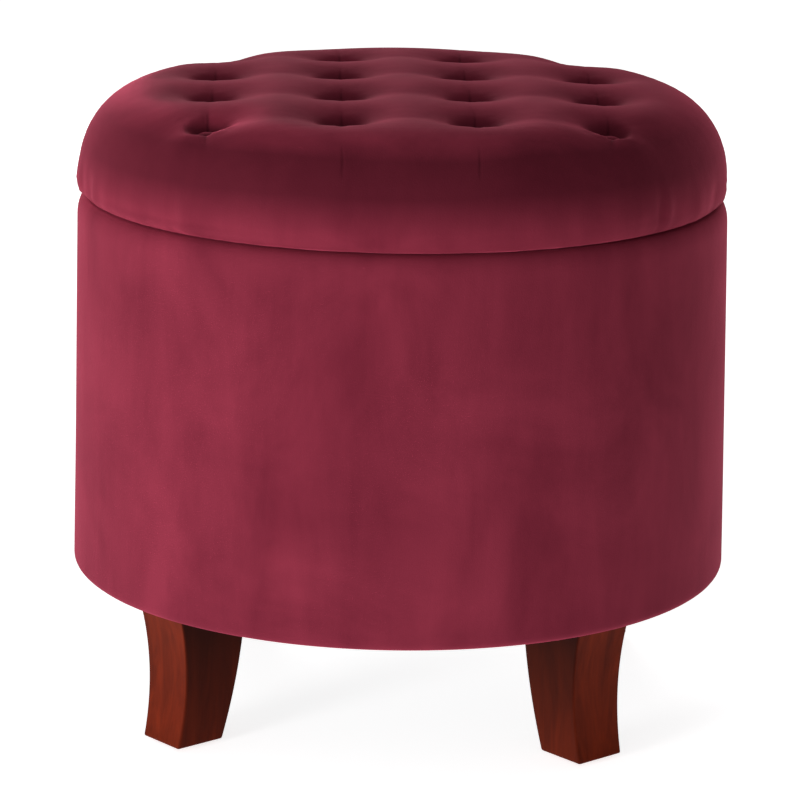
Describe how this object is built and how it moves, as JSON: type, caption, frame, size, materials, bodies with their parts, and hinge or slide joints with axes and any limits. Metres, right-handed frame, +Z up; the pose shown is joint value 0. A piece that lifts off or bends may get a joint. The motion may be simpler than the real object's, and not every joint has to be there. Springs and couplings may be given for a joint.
{
  "type": "ottoman with storage",
  "caption": "Round upholstered storage ottoman: velvet barrel on sabre-curved wooden legs, with a button-tufted domed lid that lifts off.",
  "frame": {"origin": "on the floor under the centre of the barrel", "axes": "+Z up along the barrel's axis; the front is towards -Y, with a leg on each diagonal"},
  "size_m": [0.491, 0.491, 0.4683],
  "materials": {
    "velvet": "matte",
    "foam": "matte",
    "black_nonwoven": "matte",
    "twine": "matte",
    "fibreboard": "matte",
    "plywood": "matte",
    "stained_wood": "satin",
    "steel": "satin",
    "glide_plastic": "satin"
  },
  "bodies": {
    "barrel": {"body_cover": "velvet", "wall_padding": "foam", "wall_board": "fibreboard", "inner_board": "fibreboard", "top_ring": "plywood", "floor_board": "plywood", "wall_liner": "black_nonwoven", "floor_liner": "black_nonwoven", "dust_cover": "black_nonwoven", "wall_post_1": "plywood", "wall_post_2": "plywood", "wall_post_3": "plywood", "wall_post_4": "plywood", "wall_post_5": "plywood", "wall_post_6": "plywood", "leg_front_left": "stained_wood", "hanger_bolt_front_left": "steel", "tee_nut_front_left": "steel", "glide_front_left": "glide_plastic", "leg_front_right": "stained_wood", "hanger_bolt_front_right": "steel", "tee_nut_front_right": "steel", "glide_front_right": "glide_plastic", "leg_back_right": "stained_wood", "hanger_bolt_back_right": "steel", "tee_nut_back_right": "steel", "glide_back_right": "glide_plastic", "leg_back_left": "stained_wood", "hanger_bolt_back_left": "steel", "tee_nut_back_left": "steel", "glide_back_left": "glide_plastic"},
    "lid": {"lid_cover": "velvet", "lid_foam": "foam", "lid_board": "plywood", "lid_liner": "black_nonwoven", "locating_ring": "plywood", "ring_screw_1": "steel", "ring_screw_2": "steel", "ring_screw_3": "steel", "ring_screw_4": "steel", "tuft_button_1_1": "velvet", "tuft_button_1_2": "velvet", "tuft_button_1_3": "velvet", "tuft_button_1_4": "velvet", "tuft_button_2_1": "velvet", "tuft_button_2_2": "velvet", "tuft_button_2_3": "velvet", "tuft_button_2_4": "velvet", "tuft_button_3_1": "velvet", "tuft_button_3_2": "velvet", "tuft_button_3_3": "velvet", "tuft_button_3_4": "velvet", "tuft_button_4_1": "velvet", "tuft_button_4_2": "velvet", "tuft_button_4_3": "velvet", "tuft_button_4_4": "velvet", "tuft_twine_row_1": "twine", "tuft_twine_row_2": "twine", "tuft_twine_row_3": "twine", "tuft_twine_row_4": "twine"}
  },
  "joints": [
    {"name": "lid_lift", "type": "slide", "parent": "barrel", "child": "lid", "axis": [0, 0, 1], "range_m": [0, 0.35]}
  ]
}
